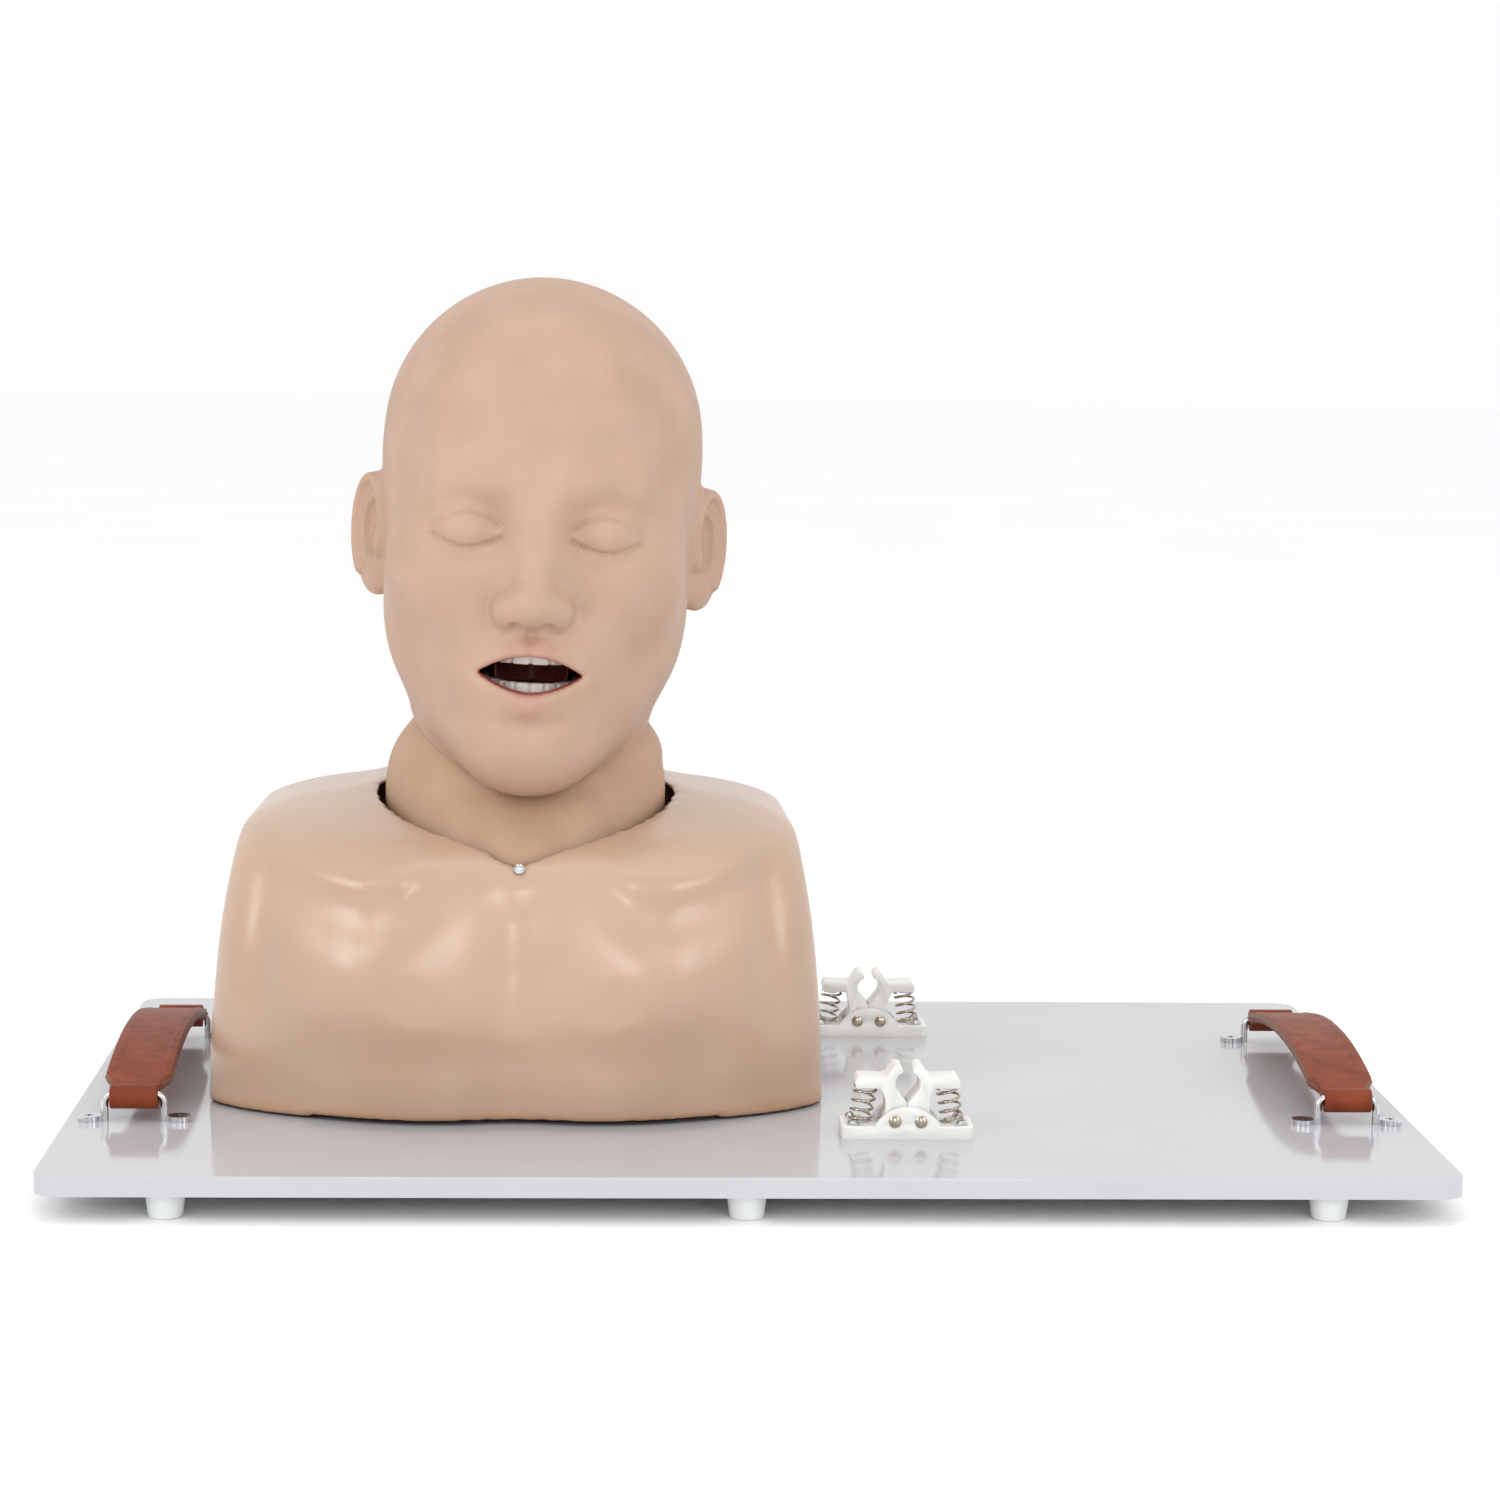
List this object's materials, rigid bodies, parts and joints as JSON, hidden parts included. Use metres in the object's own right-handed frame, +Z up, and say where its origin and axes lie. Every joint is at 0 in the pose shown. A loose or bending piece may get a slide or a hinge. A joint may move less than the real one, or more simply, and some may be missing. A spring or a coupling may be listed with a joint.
{
  "type": "airway management trainer",
  "caption": "Adult head, neck and chest manikin for airway practice, on a carrying board with two leather strap handles and sprung tube clips.",
  "frame": {"origin": "on the floor under the middle of the board", "axes": "+Z up, +X along the board's long side, to the right seen from the front, and the face looks along -Y"},
  "size_m": [0.62, 0.4, 0.4059],
  "materials": {
    "board_plastic": "gloss",
    "foot_rubber": "matte",
    "screw_chrome": "polished",
    "spring_nickel": "polished",
    "strap_leather": "satin",
    "clip_nylon": "satin",
    "shell_plastic": "gloss",
    "soft_skin": "matte",
    "bone_plastic": "matte",
    "tooth_plastic": "gloss",
    "mouth_rubber": "satin",
    "tongue_rubber": "satin",
    "post_steel": "brushed",
    "airway_rubber": "matte",
    "lung_rubber": "matte",
    "stomach_rubber": "matte"
  },
  "bodies": {
    "board_and_chest": {"board": "board_plastic", "front_left_foot": "foot_rubber", "front_middle_foot": "foot_rubber", "front_right_foot": "foot_rubber", "rear_left_foot": "foot_rubber", "rear_middle_foot": "foot_rubber", "rear_right_foot": "foot_rubber", "foot_screws": "screw_chrome", "left_front_bail": "screw_chrome", "left_rear_bail": "screw_chrome", "right_front_bail": "screw_chrome", "right_rear_bail": "screw_chrome", "bail_screws": "screw_chrome", "left_handle_strap": "strap_leather", "right_handle_strap": "strap_leather", "front_clip_base": "clip_nylon", "front_clip_left_pin": "spring_nickel", "front_clip_right_pin": "spring_nickel", "front_clip_left_spring": "spring_nickel", "front_clip_right_spring": "spring_nickel", "front_clip_screws": "screw_chrome", "rear_clip_base": "clip_nylon", "rear_clip_left_pin": "spring_nickel", "rear_clip_right_pin": "spring_nickel", "rear_clip_left_spring": "spring_nickel", "rear_clip_right_spring": "spring_nickel", "rear_clip_screws": "screw_chrome", "chest_shell": "shell_plastic", "back_panel": "shell_plastic", "panel_screws": "screw_chrome", "collar_screw": "screw_chrome", "left_shell_bracket": "post_steel", "right_shell_bracket": "post_steel", "shell_side_screws": "screw_chrome", "bracket_screws": "screw_chrome", "neck_post": "post_steel", "neck_post_screws": "screw_chrome", "neck_tilt_pin": "post_steel", "neck_skin": "soft_skin", "left_lung": "lung_rubber", "right_lung": "lung_rubber", "trachea": "airway_rubber", "stomach": "stomach_rubber", "oesophagus": "airway_rubber"},
    "neck": {"neck_column": "post_steel"},
    "head": {"head_skin": "soft_skin", "skull": "bone_plastic", "palate": "mouth_rubber", "upper_teeth": "tooth_plastic", "jaw_pins": "post_steel"},
    "jaw": {"lower_jaw": "bone_plastic", "lower_teeth": "tooth_plastic", "tongue": "tongue_rubber"},
    "front_clip_left_arm_body": {"front_clip_left_arm": "clip_nylon"},
    "front_clip_right_arm_body": {"front_clip_right_arm": "clip_nylon"},
    "rear_clip_left_arm_body": {"rear_clip_left_arm": "clip_nylon"},
    "rear_clip_right_arm_body": {"rear_clip_right_arm": "clip_nylon"}
  },
  "joints": [
    {"name": "neck_tilt", "type": "hinge", "parent": "board_and_chest", "child": "neck", "pos_m": [-0.10319, 0.012, 0.15], "axis": [1, 0, 0], "range_deg": [-25, 5], "deforming": ["neck_skin", "trachea", "oesophagus"]},
    {"name": "head_turn", "type": "hinge", "parent": "neck", "child": "head", "pos_m": [-0.10001, 0.012, 0.22605], "axis": [0.0419, 0, 0.9991], "range_deg": [-30, 30]},
    {"name": "jaw_hinge", "type": "hinge", "parent": "head", "child": "jaw", "pos_m": [-0.09809, 0.01, 0.27201], "axis": [0.9991, 0, -0.0419], "range_deg": [-5, 4], "deforming": ["head_skin"]},
    {"name": "front_clip_left_arm_hinge", "type": "hinge", "parent": "board_and_chest", "child": "front_clip_left_arm_body", "pos_m": [0.0661, -0.1155, 0.0292], "axis": [0, -1, 0], "range_deg": [0, 18], "stiffness_Nm_per_rad": 0.3, "springref_deg": -17.19, "deforming": ["front_clip_left_spring"]},
    {"name": "front_clip_right_arm_hinge", "type": "hinge", "parent": "board_and_chest", "child": "front_clip_right_arm_body", "pos_m": [0.0779, -0.1155, 0.0292], "axis": [0, 1, 0], "range_deg": [0, 18], "stiffness_Nm_per_rad": 0.3, "springref_deg": -17.19, "deforming": ["front_clip_right_spring"]},
    {"name": "rear_clip_left_arm_hinge", "type": "hinge", "parent": "board_and_chest", "child": "rear_clip_left_arm_body", "pos_m": [0.0661, 0.1146, 0.0292], "axis": [0, -1, 0], "range_deg": [0, 18], "stiffness_Nm_per_rad": 0.3, "springref_deg": -17.19, "deforming": ["rear_clip_left_spring"]},
    {"name": "rear_clip_right_arm_hinge", "type": "hinge", "parent": "board_and_chest", "child": "rear_clip_right_arm_body", "pos_m": [0.0779, 0.1146, 0.0292], "axis": [0, 1, 0], "range_deg": [0, 18], "stiffness_Nm_per_rad": 0.3, "springref_deg": -17.19, "deforming": ["rear_clip_right_spring"]}
  ]
}
